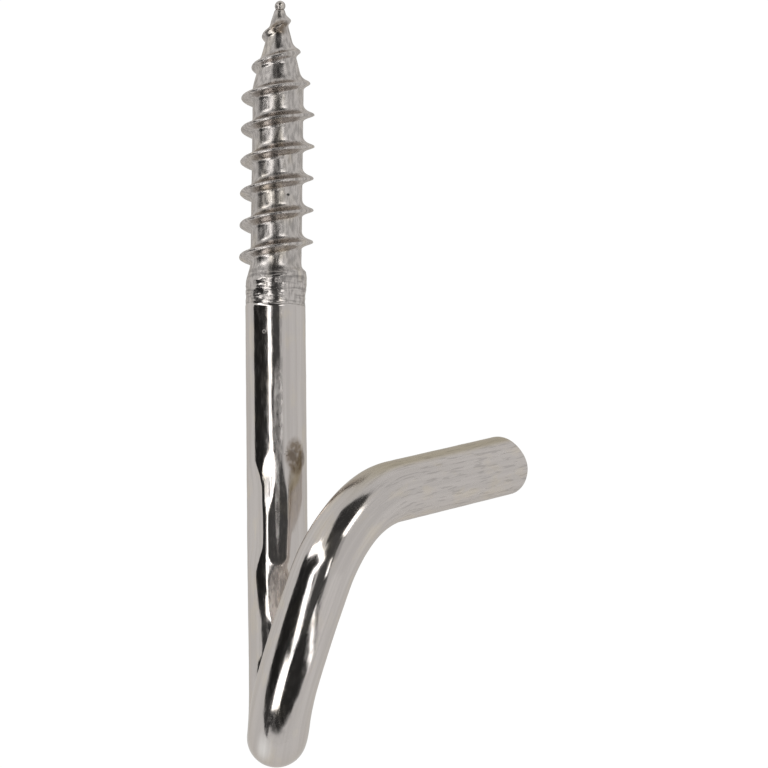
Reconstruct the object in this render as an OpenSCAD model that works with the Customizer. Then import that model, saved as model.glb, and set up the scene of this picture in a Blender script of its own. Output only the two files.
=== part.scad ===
// Open screw eye (clothesline screw hook): one plated steel wire with a rolled lag thread and
// gimlet point at one end, bent at the other into an open, side-sprung eye for a rope.
// It lies on the floor as it would come to rest, on a thread crest, the back of the eye and the
// tip of the arm. Origin on the shank's axis where the thread ends, thread towards +Y, +Z up, mm.

/* [Wire] */
// Diameter of the wire, 5/16 inch stock
wire_diameter = 7.94; // [7:0.1:8.4]
// Smooth shank between the thread and the eye
shank_length = 32.7; // [20:0.5:50]
// Edge break round the cut end of the arm
end_chamfer = 0.35; // [0.1:0.05:0.8]

/* [Thread] */
// From the point to the end of the rolled zone
thread_length = 40.65; // [36:0.5:55]
// Axial distance between crests, 6 per inch
pitch = 4.233; // [3.6:0.05:4.8]
// Diameter over the crests
crest_diameter = 9.74; // [9:0.1:10.4]
// Diameter between the crests
core_diameter = 6.72; // [6:0.1:7]
// Height of the rolled zone between the run-out and the smooth shank
rolled_zone = 2.8; // [1.5:0.1:5]
// Length of the cone that joins the core to the rolled zone
shoulder_cone = 3; // [2:0.1:4]
// Length over which the core narrows to the point
point_length = 10.1; // [7:0.1:13]
// Length over which the crests fade to the point
crest_fade = 11.55; // [8:0.1:14]
// Angle by which the rolling left the thread off the shank's line
thread_lean = 1.25; // [0:0.05:2]

/* [Eye] */
// Radius of the neck bend, to the middle of the wire
neck_radius = 11.3; // [9:0.1:14]
// Angle of the neck bend, away from the arm
neck_angle = 35.95; // [28:0.05:42]
// Straight back of the eye
back_length = 5.6; // [3:0.1:12]
// Radius of the tight bend at the bottom of the eye
bottom_radius = 8; // [7.5:0.1:10]
// Angle of the tight bend, both halves
bottom_angle = 172.7; // [164:0.1:178]
// Radius of the first part of the front arm
front_radius = 28; // [24:0.5:36]
// Angle of the first part of the front arm
front_angle = 13.8; // [8:0.1:20]
// Radius of the second part of the front arm
rise_radius = 45.8; // [38:0.1:60]
// Angle of the second part of the front arm
rise_angle = 18.1; // [12:0.1:24]
// Radius of the bend from the front arm into the free arm
top_radius = 12.3; // [10:0.1:15]
// Angle of the bend from the front arm into the free arm, both halves
top_angle = 77.7; // [68:0.1:86]
// Straight free arm
arm_length = 23.25; // [15:0.05:32]

/* [Hidden] */

wire_radius = wire_diameter / 2;
crest_radius = crest_diameter / 2;
core_radius = core_diameter / 2;

// Turns of the wire about its own line before each bend. The bottom and the top each turn once
// more half-way round, so that they leave the flat.
neck_turn = -1.5;
bottom_turn = 182.3;
sweep_turn = -5.8;
front_turn = -36.7;
rise_turn = 17.4;
top_turn = -19;
over_turn = -9.5;

// Bending draws the wire down by this much, and each straight laps this far into its bends.
draw_down = 0.01;
lap = 0.25;

// The point: a small bead on a neck, left where the rolled blank parted.
bead_radius = 0.72;
neck_bead_radius = 0.62;
neck_bead_length = 0.7;
neck_bead_sink = 0.4;
bead_shift = 0.12;
cone_end_radius = 0.72;
cone_end = thread_length - 2 * bead_radius;

// Tooth section over one pitch, from the shank side to the point side: [along, height]. The long
// hollow flank faces the point.
tooth = [[-0.2, 0], [-0.1, 0.42], [-0.025, 1], [0.012, 1], [0.1, 0.6], [0.2, 0.17], [0.31, 0]];
columns = 30;
crest_phase = 1.05;
crest_start = 1.1;
crest_over_cone = 0.5;
rolled_step = 0.03;
rolled_radius = wire_radius - rolled_step;

$fn = 64;

function unit(v) = v / norm(v);
function clamp(x, low, high) = min(max(x, low), high);

// Depth t is measured from the end of the rolled zone towards the point.
function core_at(t) =
  t < rolled_zone ? rolled_radius :
  t < rolled_zone + shoulder_cone ?
    rolled_radius + (core_radius - rolled_radius) * (t - rolled_zone) / shoulder_cone :
  t < cone_end - point_length ? core_radius :
  core_radius + (cone_end_radius - core_radius) * (t - cone_end + point_length) / point_length;

function crest_at(t) =
  let (run_out = clamp((t - rolled_zone) / shoulder_cone, 0, 1))
  let (taper = clamp((t - cone_end + crest_fade) / crest_fade, 0, 1))
  let (cone = crest_radius - (crest_radius - cone_end_radius - crest_over_cone) * taper)
  let (start = clamp((cone_end - t) / crest_start, 0, 1))
  core_at(t) + (cone - core_at(t)) * run_out * start;

// The surface's radius at depth t for a row of the tooth.
function thread_radius(t, height) = core_at(t) + (crest_at(t) - core_at(t)) * height;

rows_a_turn = len(tooth);
turns = ceil(thread_length / pitch) + 4;
rows = turns * rows_a_turn;

// Rows follow the helix, so the crest is one clean line. Rows beyond an end are drawn in to it.
function row_depth(row, column) =
  let (turn = floor(row / rows_a_turn))
  let (along = tooth[row % rows_a_turn][0])
  (turn - 1 + along) * pitch + crest_phase - pitch * column / columns;

function row_point(row, column) =
  let (t = clamp(row_depth(row, column), -lap, cone_end))
  let (radius = thread_radius(t, tooth[row % rows_a_turn][1]))
  let (a = 360 * column / columns)
  [radius * cos(a), radius * sin(a), -t];

// Wire by lengths and bends: a frame is [position, side it bends to, direction].
function go_straight(f, length) = [f[0] + f[2] * length, f[1], f[2]];
function go_bend(f, radius, angle, turn) =
  let (side = f[1] * cos(turn) + cross(f[2], f[1]) * sin(turn))
  let (new_side = side * cos(angle) - f[2] * sin(angle))
  [f[0] + (side - new_side) * radius, new_side, f[2] * cos(angle) + side * sin(angle)];

at_neck = [[0, 0, shank_length], [1, 0, 0], [0, 0, 1]];
at_back = go_bend(at_neck, neck_radius, neck_angle, neck_turn);
at_bottom = go_straight(at_back, back_length);
at_sweep = go_bend(at_bottom, bottom_radius, bottom_angle / 2, bottom_turn);
at_front = go_bend(at_sweep, bottom_radius, bottom_angle / 2, sweep_turn);
at_rise = go_bend(at_front, front_radius, front_angle, front_turn);
at_top = go_bend(at_rise, rise_radius, rise_angle, rise_turn);
at_over = go_bend(at_top, top_radius, top_angle / 2, top_turn);
at_arm = go_bend(at_over, top_radius, top_angle / 2, over_turn);
at_tip = go_straight(at_arm, arm_length);

// Where the hook touches the floor, for a floor whose upward direction is n.
thread_line = [0, sin(thread_lean), -cos(thread_lean)];
function crest_foot(t, n) = thread_line * t - unit(n - thread_line * (n * thread_line)) * crest_at(t);
function lower_of(a, b, n) = a * n < b * n ? a : b;
function thread_foot(n, turn = 1) =
  turn * pitch > thread_length - pitch ? crest_foot(turn * pitch, n) :
  lower_of(crest_foot(turn * pitch + crest_phase, n), thread_foot(n, turn + 1), n);
bottom_side = at_bottom[1] * cos(bottom_turn) + cross(at_bottom[2], at_bottom[1]) * sin(bottom_turn);
bottom_axis = cross(at_bottom[2], bottom_side);
bottom_centre = at_bottom[0] + bottom_side * bottom_radius;
function eye_foot(n) =
  bottom_centre - unit(n - bottom_axis * (n * bottom_axis)) * bottom_radius - n * (wire_radius - draw_down);
function tip_foot(n) = at_tip[0] - unit(n - at_tip[2] * (n * at_tip[2])) * (wire_radius - end_chamfer);

function floor_normal(n, steps) =
  steps == 0 ? n :
  floor_normal(unit(cross(eye_foot(n) - thread_foot(n), tip_foot(n) - thread_foot(n))), steps - 1);

up = floor_normal([-1, 0, 0], 6);
along = unit([0, 0, -1] - up * (up * [0, 0, -1]));
across = cross(along, up);

// The rolled thread with its core, run-out and rolled zone, as one closed surface.
module thread_surface() {
  points = [for (column = [0:columns - 1]) for (row = [0:rows - 1]) row_point(row, column)];
  sides = [
    for (column = [0:columns - 2]) for (row = [0:rows - 2])
      let (here = column * rows + row)
      [here, here + rows, here + rows + 1, here + 1]
  ];
  seam = [
    for (row = [rows_a_turn:rows - 2])
      let (here = (columns - 1) * rows + row)
      [here, row - rows_a_turn, row - rows_a_turn + 1, here + 1]
  ];
  shank_face = [for (column = [columns - 1:-1:0]) column * rows];
  point_face = [for (column = [0:columns - 1]) column * rows + rows - 1];
  polyhedron(points = points, faces = concat(sides, seam, [shank_face, point_face]));
}

module threaded_end() {
  rotate([thread_lean, 0, 0]) {
    thread_surface();
    translate([0, 0, -cone_end - neck_bead_sink]) cylinder(r = neck_bead_radius, h = neck_bead_length);
    translate([0, bead_shift, -thread_length + bead_radius]) sphere(r = bead_radius);
  }
}

module straight(length) {
  translate([0, 0, -lap]) cylinder(r = wire_radius, h = length + 2 * lap);
  translate([0, 0, length]) children();
}

// An arc towards +X, with what follows it carried on from its far end.
module bend(radius, angle, turn) {
  rotate([0, 0, turn]) {
    translate([radius, 0, 0]) rotate([90, 0, 180])
      rotate_extrude(angle = angle) translate([radius, 0]) circle(r = wire_radius - draw_down);
    translate([radius, 0, 0]) rotate([0, angle, 0]) translate([-radius, 0, 0]) children();
  }
}

module free_arm() {
  translate([0, 0, -lap]) cylinder(r = wire_radius, h = arm_length - end_chamfer + lap);
  translate([0, 0, arm_length - end_chamfer])
    cylinder(r1 = wire_radius, r2 = wire_radius - end_chamfer, h = end_chamfer);
}

module bent_wire() {
  cylinder(r = wire_radius, h = shank_length + lap);
  translate([0, 0, shank_length])
    bend(neck_radius, neck_angle, neck_turn)
    straight(back_length)
    bend(bottom_radius, bottom_angle / 2, bottom_turn)
    straight(0)
    bend(bottom_radius, bottom_angle / 2, sweep_turn)
    straight(0)
    bend(front_radius, front_angle, front_turn)
    straight(0)
    bend(rise_radius, rise_angle, rise_turn)
    straight(0)
    bend(top_radius, top_angle / 2, top_turn)
    straight(0)
    bend(top_radius, top_angle / 2, over_turn)
    free_arm();
}

module screw_eye() {
  color([0.77, 0.76, 0.74])
    multmatrix([
      [across[0], across[1], across[2], 0],
      [along[0], along[1], along[2], 0],
      [up[0], up[1], up[2], 0],
      [0, 0, 0, 1]
    ]) {
      threaded_end();
      bent_wire();
    }
}

screw_eye();
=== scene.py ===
import math

import bmesh
import bpy
from mathutils import Matrix, Vector, noise


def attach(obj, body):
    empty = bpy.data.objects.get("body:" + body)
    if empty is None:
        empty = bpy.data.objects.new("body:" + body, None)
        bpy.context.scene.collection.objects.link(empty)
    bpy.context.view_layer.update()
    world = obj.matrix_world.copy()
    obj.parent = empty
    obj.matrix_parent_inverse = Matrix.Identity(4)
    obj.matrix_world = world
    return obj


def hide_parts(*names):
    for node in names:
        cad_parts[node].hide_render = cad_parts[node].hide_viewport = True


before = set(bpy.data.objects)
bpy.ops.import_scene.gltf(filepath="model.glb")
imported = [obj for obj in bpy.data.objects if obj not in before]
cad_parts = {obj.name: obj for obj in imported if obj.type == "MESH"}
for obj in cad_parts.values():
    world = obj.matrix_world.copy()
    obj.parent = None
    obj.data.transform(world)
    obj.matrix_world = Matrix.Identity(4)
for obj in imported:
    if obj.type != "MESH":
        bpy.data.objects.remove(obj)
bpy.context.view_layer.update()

# The wire is bent in its own frame, in millimetres: z runs from the end of the thread towards the
# eye, and x is the side that the neck bends to. bodyToFloor lays the finished hook down.
bodyToFloor = Matrix((
    (0.00095710, 0.99999954, 0.0),
    (-0.08094130, 0.00007747, -0.99671887),
    (-0.99671841, 0.00095396, 0.08094134),
))
mm = 0.001  # metres


def smoothStep(value, low, high):
    t = min(max((value - low) / (high - low), 0.0), 1.0)
    return t * t * (3 - 2 * t)


# Smooth noise at a point, stretched along each axis and shifted to a field of its own.
def noiseAt(point, stretch, shift):
    return noise.noise(Vector([p * s + d for p, s, d in zip(point, stretch, shift)]))


def extrudeRing(bm, ring):
    made = bmesh.ops.extrude_edge_only(bm, edges=ring)["geom"]
    verts = [g for g in made if isinstance(g, bmesh.types.BMVert)]
    edges = [g for g in made if isinstance(g, bmesh.types.BMEdge)
             and g.verts[0] in verts and g.verts[1] in verts]
    return edges, verts


def addObject(name, bm, material):
    mesh = bpy.data.meshes.new(name)
    bm.to_mesh(mesh)
    bm.free()
    mesh.materials.append(material)
    piece = bpy.data.objects.new(name, mesh)
    bpy.context.scene.collection.objects.link(piece)
    return piece


wire = {
    "radius": 3.97,
    "columns": 96,
    "ringStep": 0.35,
    "shank": 32.7,
    # radius, angle and the turn of the wire before the bend; a last value is a turn half-way
    "neck": (11.3, 35.95, -1.5),
    "back": 5.6,
    "bottom": (8.0, 172.7, 182.3, -5.8),
    "front": (28.0, 13.8, -36.7),
    "rise": (45.8, 18.1, 17.4),
    "top": (12.3, 77.7, -19.0, -9.5),
    "arm": 23.25,
    "cornerRound": 0.35,  # the sheared end's sharp side
    "cornerRoll": 1.3,  # and its rolled side
    "cornerDepth": 0.85,  # how far in the rim falls, as a share of its reach
    "cornerRings": (0.2, 0.4, 0.55, 0.68, 0.78, 0.86, 0.93, 0.98, 1.0),
    "rollSide": (-0.2, 0.95, 0.25),  # its direction, with the hook lying on the floor
    "rollFrom": (-0.2, 0.9),  # how squarely a place faces that side where the roll begins and is full
    "capInset": 1.2,
    # unevenness: its height, how far it lies sunk as a share of that, and the noises that make
    # it, each as stretch, shift and share
    "lumpHeight": 0.016,
    "lumpSink": 0.6,
    "lumps": (
        ((0.22, 0.22, 0.28), (0, 0, 0), 1.0),
        ((0.5, 0.5, 0.75), (9, 0, 0), 0.55),
    ),
    "ripple": ((0.7, 0.7, 0.5), (0, 5, 0), 0.7),
    "rippleFades": (26, 34),
    # how much the bottom and the top bends draw the wire down: first and last length, share
    "drawn": ((46.0, 69.0, 0.045), (92.0, 106.0, 0.02)),
    # pressed flats: angle round the wire from its upper side, lengths where it starts, is full,
    # still full and ends, depth
    "flats": (
        (3, 19.0, 27.0, 33.0, 34.0, 0.26),
        (-11.5, 18.6, 22.8, 25.0, 29.5, 0.19),
        (-52, 20.0, 24.5, 31.0, 35.0, 0.44),
        (4, 33.8, 35.0, 37.5, 42.0, 0.27),
        (-24, 2.0, 5.0, 8.0, 13.0, 0.02),
        (-2, 8.0, 11.5, 14.0, 19.0, 0.03),
        (188, 72.0, 76.0, 80.0, 85.0, 0.05),
    ),
}


# Grows a tube ring by ring, and remembers where each point sat on the straight wire.
class WireMaker:
    def __init__(self, bm):
        self.bm = bm
        self.place = bm.verts.layers.float_vector.new("wirePlace")
        self.at = Vector((0, 0, 0))
        self.side = Vector((1, 0, 0))
        self.ahead = Vector((0, 0, 1))
        self.length = 0.0
        bmesh.ops.create_circle(bm, segments=wire["columns"], radius=wire["radius"])
        for v in bm.verts:
            v[self.place] = (v.co.x, v.co.y, 0)
        self.ring = bm.edges[:]
        self.rings = []
        self.keepRing(bm.verts[:])

    def keepRing(self, verts):
        self.rings.append((self.at.copy(), self.length, verts))

    def nextRing(self, step):
        self.ring, verts = extrudeRing(self.bm, self.ring)
        self.length += step
        for v in verts:
            v[self.place] = (v[self.place][0], v[self.place][1], self.length)
        return verts

    def forward(self, step):
        verts = self.nextRing(step)
        bmesh.ops.translate(self.bm, verts=verts, vec=self.ahead * step)
        self.at += self.ahead * step
        self.keepRing(verts)

    def straight(self, length):
        steps = max(1, round(length / wire["ringStep"]))
        for _ in range(steps):
            self.forward(length / steps)

    def bend(self, radius, angle, turn):
        self.side = Matrix.Rotation(math.radians(turn), 3, self.ahead) @ self.side
        centre = self.at + self.side * radius
        axis = self.ahead.cross(self.side)
        arc = radius * math.radians(angle)
        steps = max(2, round(arc / wire["ringStep"]))
        small = Matrix.Rotation(math.radians(angle) / steps, 3, axis)
        for _ in range(steps):
            verts = self.nextRing(arc / steps)
            bmesh.ops.rotate(self.bm, verts=verts, cent=centre, matrix=small)
            self.at = centre + small @ (self.at - centre)
            self.ahead = small @ self.ahead
            self.side = small @ self.side
            self.keepRing(verts)

    def doubleBend(self, radius, angle, turn, midTurn):
        self.bend(radius, angle / 2, turn)
        self.bend(radius, angle / 2, midTurn)


def makeWire(bm):
    maker = WireMaker(bm)
    maker.straight(wire["shank"])
    maker.bend(*wire["neck"])
    maker.straight(wire["back"])
    maker.doubleBend(*wire["bottom"])
    maker.bend(*wire["front"])
    maker.bend(*wire["rise"])
    maker.doubleBend(*wire["top"])
    maker.straight(wire["arm"] - wire["cornerRoll"])
    reached = 0.0
    for share in wire["cornerRings"]:
        maker.forward((share - reached) * wire["cornerRoll"])
        reached = share
    return maker


# Small unevenness that drawing and bending leave in the wire, and the flats pressed into it.
def lumpy(maker):
    for centre, length, verts in maker.rings:
        drawn = 0.0
        for first, last, share in wire["drawn"]:
            middle, half = (first + last) / 2, (last - first) / 2
            drawn += share * (1 - smoothStep(abs(length - middle), 0, half))
        flats = []
        for angle, start, full, stillFull, end, depth in wire["flats"]:
            share = smoothStep(length, start, full) * (1 - smoothStep(length, stillFull, end))
            if share > 0:
                flats.append((math.radians(angle), wire["radius"] - depth * share))
        stretch, shift, share = wire["ripple"]
        ripple = (stretch, shift, share * (1 - smoothStep(length, *wire["rippleFades"])))
        for v in verts:
            place = Vector(v[maker.place])
            lumps = sum(share * noiseAt(place, stretch, shift)
                        for stretch, shift, share in wire["lumps"] + (ripple,))
            radius = wire["radius"] * (1 - drawn) + wire["lumpHeight"] * (lumps - wire["lumpSink"])
            around = math.atan2(place.y, -place.x)
            for angle, reach in flats:
                facing = math.cos(around - angle)
                if facing > 0.5:  # the other side of the wire stays round
                    radius = min(radius, reach / facing)
            v.co = centre + (v.co - centre).normalized() * radius


# The sheared end: one side rolled over, the other left nearly sharp, closed by a flat face.
def finishEnd(bm, maker):
    rolledSide = bodyToFloor.inverted() @ Vector(wire["rollSide"])
    rolledSide -= maker.ahead * rolledSide.dot(maker.ahead)
    rolledSide.normalize()
    sharp, rolled = wire["cornerRound"], wire["cornerRoll"]
    for centre, length, verts in maker.rings:
        toEnd = maker.length - length
        if toEnd >= rolled:
            continue
        for v in verts:
            out = (v.co - centre).normalized()
            reach = sharp + (rolled - sharp) * smoothStep(out.dot(rolledSide), *wire["rollFrom"])
            inside = max(0.0, reach - toEnd) / reach
            v.co -= out * reach * wire["cornerDepth"] * (1 - math.sqrt(max(0.0, 1 - inside * inside)))
    cap = bmesh.ops.holes_fill(bm, edges=maker.ring, sides=0)["faces"]
    bmesh.ops.inset_region(bm, faces=cap, thickness=wire["capInset"], depth=0.0)
    bmesh.ops.poke(bm, faces=cap)


thread = {
    "length": 40.65,
    "pitch": 4.233,
    "crestRadius": 4.87,
    "coreRadius": 3.36,
    "rolledRadius": 3.94,
    "rolledZone": 2.8,
    "shoulder": 3.0,
    "pointLength": 10.1,
    "crestFade": 11.55,
    "crestOverCone": 0.5,
    "crestStart": 1.1,
    "crestPhase": 1.05,
    "lean": 1.25,
    "beadRadius": 0.72,
    "beadNeck": 0.62,
    "beadNeckLength": 0.2,
    "beadTip": 0.12,
    "beadShift": 0.12,
    "beadShiftLength": 1.5,
    "coneEndRadius": 0.72,
    "topGap": 0.02,  # closed when the thread is joined to the wire
    "columns": 96,
    # the metal bulged on one side: its height, where it rises and falls, how much further the
    # rolled zone reaches there and how much shorter the shoulder gets, how far round it goes
    "bulge": 0.16,
    "bulgeRises": (1.2, 2.6),
    "bulgeFalls": (3.6, 4.9),
    "bulgeReach": 1.55,
    "bulgeEdge": 2.1,
    "bulgeFrom": (0.1, 0.95),
    # unevenness of the rolled zone, of the worn crests and all over: stretch, shift and height
    "rolledFades": (1.8, 5.5),
    "rolledStarts": (0.0, 0.5),
    "rolledSink": 0.03,
    "rough": ((0.8, 0.8, 2.4), (0, 0, 0), 0.09),
    "wear": ((0.7, 0.7, 0.7), (3, 0, 0), 0.05),
    "uneven": ((1.3, 1.3, 1.1), (0, 7, 0), 0.02),
    # tooth section from the point side to the shank side: share of the pitch, height
    "tooth": (
        (-0.34, 0), (-0.28, 0.03), (-0.23, 0.1), (-0.185, 0.21), (-0.145, 0.36), (-0.115, 0.54),
        (-0.088, 0.75), (-0.064, 0.9), (-0.036, 0.978), (-0.008, 1), (0.016, 0.985), (0.038, 0.89),
        (0.068, 0.68), (0.1, 0.42), (0.13, 0.22), (0.165, 0.08), (0.205, 0), (0.27, 0), (0.35, 0),
        (0.43, 0), (0.51, 0), (0.585, 0),
    ),
}
thread["coneEnd"] = thread["length"] - 2 * thread["beadRadius"]


# The core's radius at depth t below the smooth shank; bulged is 1 on the bulged side, 0 opposite.
def coreAt(t, bulged):
    rolled = thread["rolledZone"] + thread["bulgeReach"] * bulged
    cone = thread["shoulder"] - thread["bulgeEdge"] * bulged
    core, coneEnd, pointLength = thread["coreRadius"], thread["coneEnd"], thread["pointLength"]
    if t < rolled + cone:
        narrowing = smoothStep(t, rolled, rolled + cone)
        return thread["rolledRadius"] + (core - thread["rolledRadius"]) * narrowing
    if t < coneEnd - pointLength:
        return core
    return core + (thread["coneEndRadius"] - core) * (t - coneEnd + pointLength) / pointLength


def crestAt(t, bulged):
    rolled = thread["rolledZone"] + thread["bulgeReach"] * bulged
    runOut = min(max((t - rolled) / thread["shoulder"], 0), 1)
    fade = min(max((t - thread["coneEnd"] + thread["crestFade"]) / thread["crestFade"], 0), 1)
    faded = thread["coneEndRadius"] + thread["crestOverCone"]
    crest = thread["crestRadius"] - (thread["crestRadius"] - faded) * fade
    start = min(max((thread["coneEnd"] - t) / thread["crestStart"], 0), 1)
    core = coreAt(t, bulged)
    return core + (crest - core) * runOut * start


# One tooth section is screwed round the axis and cut off at both ends.
def screwTooth(bm, height):
    pitch = thread["pitch"]
    turnsBelow = math.ceil(thread["length"] / pitch) + 2
    first = -thread["crestPhase"] - turnsBelow * pitch
    section = []
    for along, tall in thread["tooth"] + ((thread["tooth"][0][0] + 1, 0),):
        v = bm.verts.new((thread["coreRadius"], 0, first + along * pitch))
        v[height] = tall
        section.append(v)
    edges = [bm.edges.new(pair) for pair in zip(section, section[1:])]
    turns = turnsBelow + 1
    bmesh.ops.spin(bm, geom=section + edges, cent=(0, 0, 0), axis=(0, 0, 1),
                   dvec=(0, 0, pitch / thread["columns"]), angle=2 * math.pi * turns,
                   steps=thread["columns"] * turns, use_duplicate=False)
    bmesh.ops.remove_doubles(bm, verts=bm.verts, dist=0.002)
    for level, side in ((-thread["topGap"], 1), (-thread["coneEnd"], -1)):
        bmesh.ops.bisect_plane(bm, geom=bm.verts[:] + bm.edges[:] + bm.faces[:], dist=0.0005,
                               plane_co=(0, 0, level), plane_no=(0, 0, side), clear_outer=True)


# The screwed section is drawn out to the thread's real radii, with its bulge and unevenness.
def makeThread():
    bm = bmesh.new()
    place = bm.verts.layers.float_vector.new("wirePlace")
    height = bm.verts.layers.float.new("toothHeight")
    screwTooth(bm, height)
    for v in bm.verts:
        t = -v.co.z
        out = Vector((v.co.x, v.co.y, 0)).normalized()
        bulged = smoothStep(out.y, *thread["bulgeFrom"])
        core, crest = coreAt(t, bulged), crestAt(t, bulged)
        radius = core + (crest - core) * v[height]
        rise = smoothStep(t, *thread["bulgeRises"]) * (1 - smoothStep(t, *thread["bulgeFalls"]))
        radius += thread["bulge"] * bulged * rise
        rolled = 1 - smoothStep(t, *thread["rolledFades"])
        point = out * radius
        point.z = t
        roughShare = rolled * smoothStep(t, *thread["rolledStarts"])
        for name, share in (("rough", roughShare), ("wear", v[height]), ("uneven", 1.0)):
            stretch, shift, most = thread[name]
            radius += noiseAt(point, stretch, shift) * most * share
        radius -= thread["rolledSink"] * rolled
        v.co = (out.x * radius, out.y * radius, v.co.z)
        v[place] = tuple(v.co)
    return bm, place


# The bead on its neck, left where the blank parted, grown from the cone's end.
def addBead(bm, place):
    coneEnd, bead = thread["coneEnd"], thread["beadRadius"]
    ring = [e for e in bm.edges if e.is_boundary
            and all(abs(v.co.z + coneEnd) < 0.01 for v in e.verts)]
    centre = -thread["length"] + bead
    steps = [(-coneEnd - thread["beadNeckLength"], thread["beadNeck"])]
    for angle in range(32, 180, 18):  # degrees from the bead's upper pole
        a = math.radians(angle)
        steps.append((centre + bead * math.cos(a), max(bead * math.sin(a), thread["beadTip"])))
    for level, radius in steps:
        ring, verts = extrudeRing(bm, ring)
        for v in verts:
            share = radius / max(math.hypot(v.co.x, v.co.y), 0.01)
            v.co = (v.co.x * share, v.co.y * share, level)
            v[place] = tuple(v.co)
    bmesh.ops.holes_fill(bm, edges=ring, sides=0)
    shiftStart = coneEnd - thread["beadShiftLength"]
    for v in bm.verts:
        v.co.y += thread["beadShift"] * smoothStep(-v.co.z, shiftStart, thread["length"])


def makeScrewEye(material):
    threadMesh, threadPlace = makeThread()
    addBead(threadMesh, threadPlace)
    print("thread rolled:", len(threadMesh.faces), "faces")
    lean = Matrix.Rotation(math.radians(thread["lean"]), 3, "X")
    bmesh.ops.rotate(threadMesh, verts=threadMesh.verts, cent=(0, 0, 0), matrix=lean)
    part = bpy.data.meshes.new("thread_part")
    threadMesh.to_mesh(part)
    threadMesh.free()

    bm = bmesh.new()
    maker = makeWire(bm)
    print("wire bent:", round(maker.length, 1), "mm long,", len(bm.faces), "faces")
    lumpy(maker)
    finishEnd(bm, maker)
    bm.from_mesh(part)
    bpy.data.meshes.remove(part)
    loose = [e for e in bm.edges if e.is_boundary]
    print("open edges to join:", len(loose))
    bmesh.ops.bridge_loops(bm, edges=loose)
    bmesh.ops.remove_doubles(bm, verts=bm.verts, dist=0.0005)
    bmesh.ops.recalc_face_normals(bm, faces=bm.faces)
    bmesh.ops.transform(bm, verts=bm.verts, matrix=Matrix.Scale(mm, 4) @ bodyToFloor.to_4x4())
    for f in bm.faces:
        f.smooth = True
    piece = addObject("hook_wire", bm, material)
    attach(piece, "root")
    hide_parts("screw_eye")
    print("hook finished:", sum(len(f.vertices) - 2 for f in piece.data.polygons), "triangles")


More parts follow.
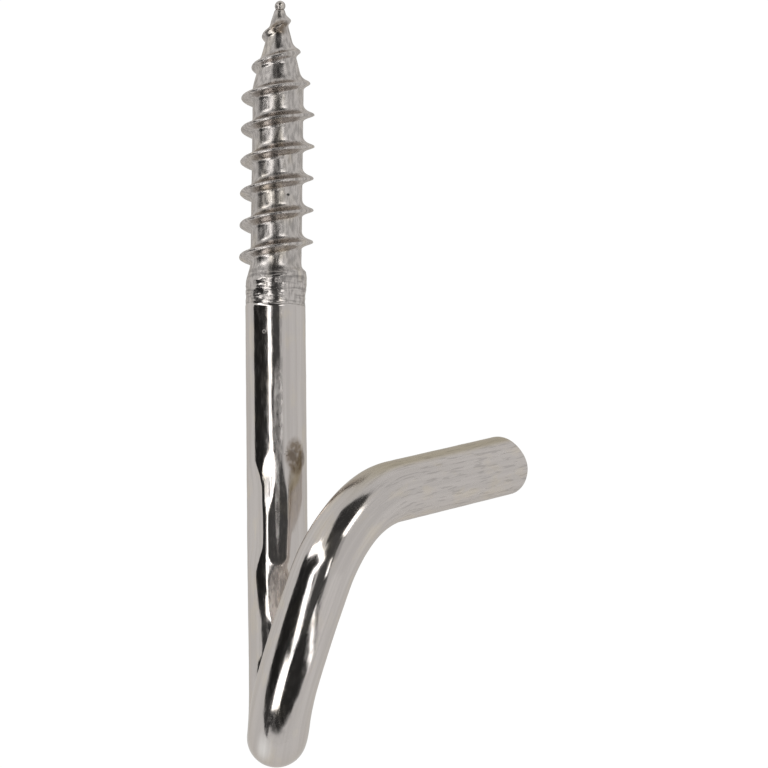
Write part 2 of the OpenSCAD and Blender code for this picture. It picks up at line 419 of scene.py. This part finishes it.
plating = {
    "wireColour": (0.676, 0.633, 0.605, 1),
    "threadColour": (0.64, 0.6, 0.572, 1),
    "edgeTint": (0.85, 0.82, 0.78, 1),
    "tan": (0.8, 0.71, 0.56, 1),
    # brown for a tint near the thread's point and for a painted reflection of the arm and its shadow on
    # the floor, on the shank; then that reflection's darker core
    "tintAndReflectionBrown": (0.27, 0.215, 0.165, 1),
    "paintedReflectionCore": (0.13, 0.1, 0.08, 1),
    "paintedReflectionCoreShare": 0.5,
    # near-black painted shade for a pit
    "pitPaintedShade": (0.08, 0.077, 0.073, 1),
    # tan of a painted reflection along the arm's top side
    "armTopReflectionColour": (0.55, 0.49, 0.38, 1),
    # colour of the painted highlight on the bottom bend
    "paintedHighlightColour": (0.95, 0.92, 0.89, 1),
    "roughness": {"wire": 0.13, "arm": 0.3, "thread": 0.27, "rolled": 0.2, "dull": 0.3},
    "roughnessVaries": (0.35, 0.75, -0.03, 0.05),
    # where finishes begin and are full: lengths along the wire, and a place across the arm where the
    # painted reflection on its top side begins
    "threadFrom": (0.0, -0.3),
    "rolledFrom": (-5.2, -4.0),
    "armFrom": (97.0, 107.0),
    "armTopReflectionFrom": (-1.9, -2.9),
    # noise patterns: how fast they change across and along the wire, detail, distortion
    "patterns": {
        "cloud": ((0.5, 0.5, 0.25), 3.0, 0.0),
        "blotch": ((1.6, 1.6, 1.2), 4.0, 0.6),
        "mottle": ((2.2, 2.2, 0.8), 4.0, 0.4),
        "streaks": ((1.9, 1.9, 0.05), 3.0, 0.0),
        "speckle": ((2.6, 2.6, 0.8), 3.0, 0.0),
        "dashes": ((3.6, 3.6, 0.35), 3.0, 0.0),
        "ridgesAndCreaseShade": ((0.3, 0.3, 2.6), 2.0, 0.15),
        "dieLines": ((3.2, 3.2, 0.05), 3.0, 0.0),
        "grain": ((7.0, 7.0, 5.0), 2.0, 0.0),
        "scratches": ((4.5, 4.5, 0.45), 3.0, 0.3),
        "brush": ((2.4, 2.4, 0.3), 3.0, 0.3),
        "folds": ((0.42, 0.42, 1.7), 2.0, 0.9),
    },
    # how a pattern tones the metal: its low and high values, and the share at each
    "tones": {
        "cloud": (0.5, 0.72, 0.0, 0.35),
        "blotch": (0.35, 0.6, 0.55, 0.95),
        "mottle": (0.36, 0.62, 0.8, 1.5),
        "streaks": (0.35, 0.65, 0.95, 1.03),
        "speckle": (0.34, 0.62, 0.68, 1.04),
        "dashes": (0.38, 0.45, 0.82, 1.0),
        # the rolled zone's ridges: painted shade in the creases of its folds
        "ridgesAndCreaseShade": (0.36, 0.54, 0.68, 1.04),
    },
    # bumps: what makes them, the zone that has them and their height in metres
    "bumps": (
        ("dieLines", None, 0.000004),
        ("grain", None, 0.0000018),
        ("scratches", "arm", 0.000008),
        ("pimples", None, 0.00015),
        ("brush", "teeth", 0.000014),
        ("folds", "rolled", 0.00007),
        ("ridgesAndCreaseShade", "rolled", 0.000042),
    ),
    # places on the wire (x, y, length) and how far they reach, in mm
    # a painted reflection of the arm and its shadow on the floor, on the shank, and a brown tint near the
    # thread's point
    "tintAndPaintedReflection": (
        ((-2.85, 2.5, 20.0), (2.0, 1.75, 2.85)),
        ((-2.2, 0.3, -36.9), (1.6, 1.9, 1.5)),
    ),
    # the darker middle of that painted reflection on the shank
    "paintedReflectionCores": (
        ((-3.2, 2.2, 19.9), (0.7, 0.75, 1.0)),
        ((-1.9, 3.4, 20.3), (0.8, 0.5, 1.2)),
    ),
    # pressed or rubbed dull
    "dull": (
        ((-3.95, 0.35, 14.5), (1.0, 0.75, 8.5)),
        ((-3.9, 0.15, 25.0), (1.2, 0.42, 9.5)),
        ((-3.97, 0.1, 36.8), (1.3, 1.75, 3.9)),
    ),
    # small raised dots
    "pimples": (
        ((-3.69, 1.45, 19.7), (0.34, 0.34, 0.34)),
        ((-3.72, -1.39, 3.7), (0.26, 0.26, 0.26)),
    ),
    # a painted highlight on the bottom bend, standing in for a softbox's reflection
    "paintedHighlight": (
        ((3.35, -2.1, 67.6), (1.5, 1.5, 3.4)),
    ),
    # a pit in a crest, which the mesh doesn't have, shown as painted shade
    "paintedShadePits": (
        ((-3.0, 1.6, -14.4), (0.3, 0.3, 0.22)),
    ),
}


# Inputs are given by name or number, as a value or as another node's output.
def addNode(tree, kind, inputs, **settings):
    node = tree.nodes.new(kind)
    for name, value in settings.items():
        setattr(node, name, value)
    for name, value in inputs.items():
        if isinstance(value, bpy.types.NodeSocket):
            tree.links.new(value, node.inputs[name])
        else:
            node.inputs[name].default_value = value
    return node


def emptyMaterial(name):
    material = bpy.data.materials.new(name)
    material.use_nodes = True
    material.node_tree.nodes.clear()
    return material


def spread(tree, value, low, high, first=0.0, last=1.0):
    node = addNode(tree, "ShaderNodeMapRange", {0: value, 1: low, 2: high, 3: first, 4: last},
                   interpolation_type="SMOOTHSTEP")
    return node.outputs[0]


def combine(tree, operation, first, second):
    return addNode(tree, "ShaderNodeMath", {0: first, 1: second}, operation=operation).outputs[0]


def mixValue(tree, share, first, second):
    return addNode(tree, "ShaderNodeMix", {0: share, 2: first, 3: second}, data_type="FLOAT").outputs[0]


def mixColour(tree, share, first, second):
    return addNode(tree, "ShaderNodeMix", {0: share, 6: first, 7: second}, data_type="RGBA").outputs[2]


def noiseOn(tree, place, stretch, detail, distortion):
    scaled = addNode(tree, "ShaderNodeVectorMath", {0: place, 1: stretch}, operation="MULTIPLY")
    noiseNode = addNode(tree, "ShaderNodeTexNoise", {
        "Vector": scaled.outputs[0], "Scale": 1.0, "Detail": detail, "Distortion": distortion})
    return noiseNode.outputs[0]


# One mask for several places: 1 within the solid share of any of them, fading to 0 at its edge.
def spots(tree, place, places, solid=0.6):
    total = 0.0
    for centre, size in places:
        away = addNode(tree, "ShaderNodeVectorMath", {0: place, 1: centre}, operation="SUBTRACT")
        share = addNode(tree, "ShaderNodeVectorMath", {0: away.outputs[0], 1: size}, operation="DIVIDE")
        reach = addNode(tree, "ShaderNodeVectorMath", {0: share.outputs[0]}, operation="LENGTH")
        mask = spread(tree, reach.outputs["Value"], solid, 1.0, 1.0, 0.0)
        total = combine(tree, "MAXIMUM", total, mask)
    return total


# Where each finish lies, as shares from 0 to 1.
def platingZones(tree, place):
    parts = addNode(tree, "ShaderNodeSeparateXYZ", {0: place})
    across, along = parts.outputs[1], parts.outputs[2]
    onThread = spread(tree, along, *plating["threadFrom"])
    onRolled = combine(tree, "MULTIPLY", onThread, spread(tree, along, *plating["rolledFrom"]))
    onArm = spread(tree, along, *plating["armFrom"])
    return {
        "thread": onThread,
        "rolled": onRolled,
        "teeth": combine(tree, "SUBTRACT", onThread, onRolled),
        "arm": onArm,
        # the arm's top side, where a painted reflection lies
        "armTopReflection": combine(tree, "MULTIPLY", spread(tree, across, *plating["armTopReflectionFrom"]), onArm),
        "dull": spots(tree, place, plating["dull"]),
    }


def platingPatterns(tree, place):
    patterns = {name: noiseOn(tree, place, *values) for name, values in plating["patterns"].items()}
    patterns["pimples"] = spots(tree, place, plating["pimples"])
    return patterns


def toneOf(tree, patterns, name):
    return spread(tree, patterns[name], *plating["tones"][name])


def platingColour(tree, place, zones, patterns):
    colour = mixColour(tree, zones["thread"], plating["wireColour"], plating["threadColour"])
    colour = mixColour(tree, toneOf(tree, patterns, "cloud"), colour, plating["tan"])
    # a painted highlight on the bottom bend
    colour = mixColour(tree, spots(tree, place, plating["paintedHighlight"], 0.0), colour, plating["paintedHighlightColour"])
    # a painted reflection along the arm's top side
    colour = mixColour(tree, zones["armTopReflection"], colour, plating["armTopReflectionColour"])
    # a brown tint near the thread's point, and a painted reflection of the arm and its shadow on the shank
    # with a darker core
    tintAndReflectionMask = spots(tree, place, plating["tintAndPaintedReflection"])
    blotchedTintAndReflection = combine(tree, "MULTIPLY", tintAndReflectionMask, toneOf(tree, patterns, "blotch"))
    colour = mixColour(tree, blotchedTintAndReflection, colour, plating["tintAndReflectionBrown"])
    reflectionCores = spots(tree, place, plating["paintedReflectionCores"])
    reflectionCoreShare = combine(tree, "MULTIPLY", reflectionCores, plating["paintedReflectionCoreShare"])
    colour = mixColour(tree, reflectionCoreShare, colour, plating["paintedReflectionCore"])
    # painted shade for the pit in a crest
    return mixColour(tree, spots(tree, place, plating["paintedShadePits"]), colour, plating["pitPaintedShade"])


# Streaks from the drawing die tone all of it, and four zones have a pattern of their own; on the rolled
# zone the ridges darken the creases of its folds as painted shade.
def platingShade(tree, zones, patterns):
    shade = toneOf(tree, patterns, "streaks")
    for zone, name in (("thread", "speckle"), ("rolled", "ridgesAndCreaseShade"), ("arm", "dashes"), ("dull", "mottle")):
        toned = mixValue(tree, zones[zone], 1.0, toneOf(tree, patterns, name))
        shade = combine(tree, "MULTIPLY", shade, toned)
    return shade


def platingBumps(tree, zones, patterns):
    normal = None
    for name, zone, distance in plating["bumps"]:
        height = patterns[name] if zone is None else combine(tree, "MULTIPLY", patterns[name], zones[zone])
        inputs = {"Height": height, "Distance": distance, "Strength": 1.0}
        if normal is not None:
            inputs["Normal"] = normal
        normal = addNode(tree, "ShaderNodeBump", inputs).outputs[0]
    return normal


def platingRoughness(tree, zones, patterns):
    rough = plating["roughness"]["wire"]
    for zone in ("arm", "thread", "rolled", "dull"):
        rough = mixValue(tree, zones[zone], rough, plating["roughness"][zone])
    return combine(tree, "ADD", rough, spread(tree, patterns["speckle"], *plating["roughnessVaries"]))


def makePlating():
    material = emptyMaterial("bright_zinc")
    tree = material.node_tree
    place = addNode(tree, "ShaderNodeAttribute", {}, attribute_name="wirePlace").outputs["Vector"]
    zones = platingZones(tree, place)
    patterns = platingPatterns(tree, place)
    colour = platingColour(tree, place, zones, patterns)
    shade = platingShade(tree, zones, patterns)
    shaded = addNode(tree, "ShaderNodeVectorMath", {0: colour, 3: shade}, operation="SCALE")
    shader = addNode(tree, "ShaderNodeBsdfPrincipled", {
        "Base Color": shaded.outputs[0], "Metallic": 1.0,
        "Roughness": platingRoughness(tree, zones, patterns),
        "Normal": platingBumps(tree, zones, patterns),
        "Specular Tint": plating["edgeTint"]})
    addNode(tree, "ShaderNodeOutputMaterial", {"Surface": shader.outputs["BSDF"]})
    print("plating mixed:", len(tree.nodes), "nodes")
    return material


studio = {
    "cameraPlace": (13.728, -9.264, 483.69),
    "cameraRight": (0.999939, -0.010974, 0.000981),
    "cameraUp": (0.010976, 0.999937, -0.002398),
    "cameraBack": (-0.000954, 0.002408, 0.999997),
    "lens": 172.176,
    "clip": (0.01, 20),
    "worldGlow": 0.64,
    "floorLevel": -7.005,
    "floorSize": 3,
    "floorColour": (0.85, 0.85, 0.85, 1),
    "floorGlowShare": 0.84,
    "floorSeen": 1.13,
    "floorInMetal": 0.7,
    # name, the aims it runs between, width in degrees, distance in mm, strength
    "cards": (
        ("left_flag", (-24, -11), (-97, -11), 54, 1500, 0.015),
        ("corner_flag", (-95, -42), (-48, -62), 22, 1300, 0.04),
        ("lower_flag", (-64, -20), (57, -60), 40, 2300, 0.023),
        ("zenith_flag", (-2, -42), (1, 34), 29, 1500, 0.06),
        ("far_flag", (0, 24), (3, 68), 46, 1500, 0.04),
        ("right_fade", (20, -8), (20, 24), 13, 1400, 0.42),
        ("right_wall", (26, -30), (62, -50), 18, 1000, 0.71),
        ("low_wall", (-46, -73), (68, -52), 11, 900, 0.65),
        ("key_upper", (-52, 36), (-13, 3), 7, 1000, 2.7),
        ("key_wide", (-70, 31), (-40, 27), 11, 1000, 2.7),
        ("key_link", (-37, -3), (-18, 2), 8, 1000, 2.7),
        ("key_lower", (-38, -3), (-22, -38), 11, 1000, 2.7),
        ("low_left_box", (-46, -47), (-17, -52), 20, 900, 2.7),
        ("right_box", (33, 37), (19, 16), 11, 1000, 2.7),
        ("right_spot", (11, -3), (10, -19), 5, 1000, 2.3),
        ("thin_box", (6, -34), (58, -66), 3, 900, 2.3),
    ),
}


def makeCamera():
    data = bpy.data.cameras.new("camera")
    data.lens = studio["lens"]
    data.sensor_width = 36
    data.clip_start, data.clip_end = studio["clip"]
    camera = bpy.data.objects.new("camera", data)
    bpy.context.scene.collection.objects.link(camera)
    turn = Matrix((studio["cameraRight"], studio["cameraUp"], studio["cameraBack"])).transposed()
    camera.matrix_world = Matrix.Translation(Vector(studio["cameraPlace"]) * mm) @ turn.to_4x4()
    bpy.context.scene.camera = camera


# A direction by how far it leans from straight up towards +X and towards +Y, in degrees.
def aim(right, forward):
    tilt = math.radians(math.hypot(right, forward))
    turn = math.atan2(forward, right)
    return Vector((math.sin(tilt) * math.cos(turn), math.sin(tilt) * math.sin(turn), math.cos(tilt)))


# A flat softbox or dark flag between two aims, which only the metal's reflections see.
def makeCard(name, start, end, width, distance, strength):
    first, last = aim(*start) * distance, aim(*end) * distance
    middle = (first + last) / 2
    along = last - first
    across = along.cross(middle).normalized() * (2 * distance * math.tan(math.radians(width / 2)))
    place = Matrix((across, along, across.cross(along).normalized())).transposed().to_4x4()
    place.translation = middle
    bm = bmesh.new()
    bmesh.ops.create_grid(bm, x_segments=1, y_segments=1, size=0.5)
    bmesh.ops.transform(bm, verts=bm.verts, matrix=Matrix.Scale(mm, 4) @ place)
    material = emptyMaterial(name)
    glow = addNode(material.node_tree, "ShaderNodeEmission", {"Strength": strength})
    addNode(material.node_tree, "ShaderNodeOutputMaterial", {"Surface": glow.outputs["Emission"]})
    card = addObject(name, bm, material)
    card.visible_camera = False
    card.visible_diffuse = False
    card.visible_shadow = False


def makeFloor():
    bm = bmesh.new()
    bmesh.ops.create_grid(bm, x_segments=1, y_segments=1, size=studio["floorSize"])
    bmesh.ops.translate(bm, verts=bm.verts, vec=(0, 0, studio["floorLevel"] * mm))
    material = emptyMaterial("pale_floor")
    tree = material.node_tree
    diffuse = addNode(tree, "ShaderNodeBsdfDiffuse", {"Color": studio["floorColour"]})
    seen = addNode(tree, "ShaderNodeLightPath", {}).outputs["Is Camera Ray"]
    level = spread(tree, seen, 0.0, 1.0, studio["floorInMetal"], studio["floorSeen"])
    glow = addNode(tree, "ShaderNodeEmission", {"Strength": level})
    mix = addNode(tree, "ShaderNodeMixShader", {
        "Fac": studio["floorGlowShare"], 1: diffuse.outputs[0], 2: glow.outputs[0]})
    addNode(tree, "ShaderNodeOutputMaterial", {"Surface": mix.outputs["Shader"]})
    addObject("floor", bm, material)


def makeStudio():
    makeFloor()
    world = bpy.data.worlds.new("studio")
    bpy.context.scene.world = world
    world.use_nodes = True
    background = world.node_tree.nodes["Background"]
    background.inputs["Color"].default_value = (1, 1, 1, 1)
    background.inputs["Strength"].default_value = studio["worldGlow"]
    for card in studio["cards"]:
        makeCard(*card)


makeScrewEye(makePlating())
makeCamera()
makeStudio()
bpy.context.scene.view_settings.view_transform = "Standard"
print("studio ready")
